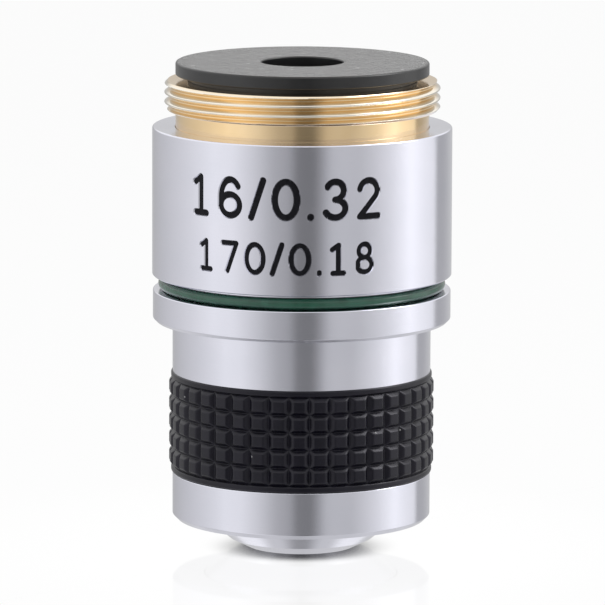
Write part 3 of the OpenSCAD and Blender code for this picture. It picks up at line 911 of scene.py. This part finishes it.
# Directions in the surround: right, back and up are the parts of a unit vector, back being away
# from the camera. A pair of values is an edge: where it starts and where it is complete.
# Brightness of the soft panels, by azimuth in degrees from the camera's side to the right:
PANELS = [(-180, 0.60), (-168, 0.52), (-158, 0.50), (-125, 0.66), (-110, 0.74), (-95, 0.84),
          (-72, 1.02), (-55, 0.97), (-38, 0.74), (-22, 0.48), (-9, 0.38), (-4, 0.19), (9, 0.17),
          (16, 0.36), (22, 0.57), (30, 0.60), (46, 0.58), (58, 0.70), (72, 0.88), (92, 1.28),
          (108, 1.08), (123.5, 0.95), (127, 0.44), (140, 0.46), (150, 0.52), (162, 0.58),
          (170, 0.58), (180, 0.60)]
LOW_SHARE = 0.38        # how far the panels even out low down
LOW_LEVEL = 0.48        # the brightness that they even out to
CEILING = 1.05          # over the panels, for what the metal reflects
CEILING_EDGE = (0.13, 0.3)
FRONT_RISE = 0.45       # how much higher the ceiling starts at the camera's side
CEILING_SPOT = 0.10     # share of the ceiling's brightness left in its dark spot
SPOT_TINT = (1, 0.6, 0.42)
GROUND = 0.65           # under the panels, from a little in front of the object backwards
GROUND_EDGE = (-0.45, -0.22)
GROUND_FRONT = (-0.25, -0.05)
GROUND_STRIPS = 0.5     # added to the ground in a strip on each side of the object
GROUND_SPOT = 0.45      # share of the ground's brightness left in a round spot behind the nose
SIDE_LIGHT = 6.0        # added in a patch high on the right
SIDE_AZIMUTH = 95       # where that patch is, in degrees
MATT_LIGHT = 2.4        # white light that the matt surfaces see
SECOND_SHARE = 0.15     # share of the surround that metal shows to a matt surface
SKY = 0.98              # what the eye sees behind the object


def panel_level(tree, azimuth, up):
    """Brightness of the panels, which differ less low down, where the nose's cones look."""
    low_foot, low_head = (-0.45, -0.3), (-0.26, -0.13)
    ramp = add(tree, "ValToRGB", {"Fac": rise(tree, azimuth, -math.pi, math.pi)})
    bands = ramp.color_ramp
    bands.interpolation = "LINEAR"
    while len(bands.elements) > 1:
        bands.elements.remove(bands.elements[-1])
    brightest = max(level for _, level in PANELS)
    for i, (angle, level) in enumerate(PANELS):
        place = (angle + 180) / 360
        element = bands.elements[0] if i == 0 else bands.elements.new(place)
        element.position = place
        element.color = (level / brightest,) * 3 + (1,)
    evened = times(tree, rise(tree, up, *low_foot), fall(tree, up, *low_head), LOW_SHARE)
    return blend(tree, evened, times(tree, ramp.outputs["Color"], brightest), LOW_LEVEL)


def ceiling_spot(tree, aside, back, up):
    """Mask of the ceiling's dark spot, which is high behind the thread."""
    side, near, foot = (0.07, 0.25), (0.0, 0.2), (0.6, 0.75)
    return times(tree, fall(tree, aside, *side), rise(tree, back, *near), rise(tree, up, *foot))


def side_patch(tree, azimuth, up):
    """Brightness that the side light adds."""
    side, foot, head = (0.1, 0.3), (0.4, 0.55), (0.85, 0.95)
    off = maths(tree, "ABSOLUTE", maths(tree, "SUBTRACT", azimuth, math.radians(SIDE_AZIMUTH)))
    return times(tree, fall(tree, off, *side), rise(tree, up, *foot), fall(tree, up, *head),
                 SIDE_LIGHT)


def ground_level(tree, aside, back):
    """Brightness of the ground, with its two strips and its dark spot."""
    inner, outer, near, far = (0.17, 0.23), (0.28, 0.33), (0.46, 0.56), (0.74, 0.82)
    strips = times(tree, rise(tree, aside, *inner), fall(tree, aside, *outer),
                   rise(tree, back, *near), fall(tree, back, *far), GROUND_STRIPS)
    spot_back, spot_narrow, spot_flat, spot_edge = 0.43, 10.0, 5.0, (0.5, 1.4)
    off = add(tree, "CombineXYZ", {
        "X": times(tree, aside, spot_narrow),
        "Y": times(tree, maths(tree, "SUBTRACT", back, spot_back), spot_flat)}).outputs[0]
    plain = remap(tree, length(tree, off), *spot_edge, GROUND * GROUND_SPOT, GROUND)
    return maths(tree, "ADD", plain, strips)


def studio():
    """White surround for the eye, and soft panels and a ceiling for what the metal reflects."""
    scene = bpy.context.scene
    scene.view_settings.view_transform = "Standard"
    world = bpy.data.worlds.new("studio")
    scene.world = world
    world.use_nodes = True
    world.cycles.sampling_method = "NONE"   # each kind of ray keeps its own light
    tree = world.node_tree
    tree.nodes.clear()
    way = add(tree, "SeparateXYZ", {0: add(tree, "TexCoord").outputs["Generated"]})
    right, back, up = way.outputs["X"], way.outputs["Y"], way.outputs["Z"]
    front = times(tree, back, -1.0)
    aside = maths(tree, "ABSOLUTE", right)
    azimuth = maths(tree, "ARCTAN2", right, front)

    # what the metal reflects: panels, ceiling, side light and ground
    spot = ceiling_spot(tree, aside, back, up)
    tint = blend_colours(tree, spot, (1, 1, 1), SPOT_TINT)
    ceiling = remap(tree, spot, 0.0, 1.0, CEILING, CEILING * CEILING_SPOT)
    lift = times(tree, maths(tree, "MAXIMUM", front, 0.0), FRONT_RISE)
    over = rise(tree, maths(tree, "SUBTRACT", up, lift), *CEILING_EDGE)
    level = blend(tree, over, panel_level(tree, azimuth, up), ceiling)
    level = maths(tree, "ADD", level, side_patch(tree, azimuth, up))
    under = times(tree, fall(tree, up, *GROUND_EDGE), rise(tree, back, *GROUND_FRONT))
    level = blend(tree, under, level, ground_level(tree, aside, back))

    # each kind of ray has its own light
    path = add(tree, "LightPath")
    shaded = remap(tree, path.outputs["Diffuse Depth"], 0.0, 1.0, 1.0, SECOND_SHARE)
    panels = add(tree, "Background", {"Strength": times(tree, level, shaded), "Color": tint})
    matt = add(tree, "Background", {"Color": (1, 1, 1, 1), "Strength": MATT_LIGHT})
    sky = add(tree, "Background", {"Color": (1, 1, 1, 1), "Strength": SKY})
    lit = blend_shaders(tree, path.outputs["Is Diffuse Ray"], panels, matt)
    seen = blend_shaders(tree, path.outputs["Is Camera Ray"], lit, sky)
    add(tree, "OutputWorld", {0: seen.outputs[0]})

    # the floor is for the eye only: the metal sees the ground of the surround
    floor = flat_sheet("floor", 3.0, floor_white())
    floor.visible_glossy = False


def floor_white():
    """White floor with its own light, a tight shade under the object and its faint mirror image."""
    shade_reach = 2.1                       # how near the object the floor is shaded, in mm
    full_shade, shade_curve = 0.19, 3.2     # what counts as shut in, and how fast the shade fades
    near, far = 12.0, 28.0                  # the mirror image fades between these, in mm
    near_mirror, far_mirror = 0.25, 0.1     # its share
    near_glow, far_glow = 1.08, 1.01        # makes up for what the mirror image takes
    mat, tree, shader = new_material("floor_white", (1, 1, 1))
    toward = add(tree, "CombineXYZ", {"Y": 0.7, "Z": 0.71}).outputs[0]     # light from behind
    opening = add(tree, "AmbientOcclusion", {"Distance": shade_reach * MM, "Normal": toward},
                  samples=16).outputs["AO"]
    dark = maths(tree, "POWER", fall(tree, opening, full_shade, 1.0), shade_curve)
    out = length(tree, place_mm(tree))
    light = times(tree, fall(tree, dark, 0.0, 1.0), remap(tree, out, near, far, near_glow, far_glow))
    glow = add(tree, "Emission", {"Color": (1, 1, 1, 1), "Strength": light})
    mirror = add(tree, "BsdfGlossy", {"Color": (1, 1, 1, 1), "Roughness": 0.05})
    top = blend_shaders(tree, remap(tree, out, near, far, near_mirror, far_mirror), glow, mirror)
    clear = add(tree, "BsdfTransparent")    # a view from below looks through it
    below = add(tree, "NewGeometry").outputs["Backfacing"]
    sheet = blend_shaders(tree, below, top, clear)
    tree.links.new(sheet.outputs[0], tree.nodes["Material Output"].inputs["Surface"])
    tree.nodes.remove(shader)
    return mat


def flat_sheet(name, half, look):
    """A level square sheet at height 0; half its side is in metres."""
    mesh = bpy.data.meshes.new(name)
    mesh.from_pydata([(-half, -half, 0), (half, -half, 0), (half, half, 0), (-half, half, 0)],
                     [], [(0, 1, 2, 3)])
    mesh.materials.append(look)
    sheet = bpy.data.objects.new(name, mesh)
    bpy.context.scene.collection.objects.link(sheet)
    return sheet


def camera():
    """A long lens, a little above the object."""
    distance, aside, aim_height = 475.5, 0.06, 18.08
    pitch, roll = math.radians(9.16), math.radians(0.2)
    data = bpy.data.cameras.new("camera")
    data.lens, data.sensor_width = 389.4, 36
    data.clip_start, data.clip_end = 0.01, 20
    cam = bpy.data.objects.new("camera", data)
    turn = Matrix.Rotation(math.pi / 2 - pitch, 4, "X") @ Matrix.Rotation(roll, 4, "Z")
    place = Vector((aside, -distance, aim_height + distance * math.tan(pitch))) * MM
    cam.matrix_world = Matrix.Translation(place) @ turn
    bpy.context.scene.collection.objects.link(cam)
    bpy.context.scene.camera = cam


camera()
dress()
studio()
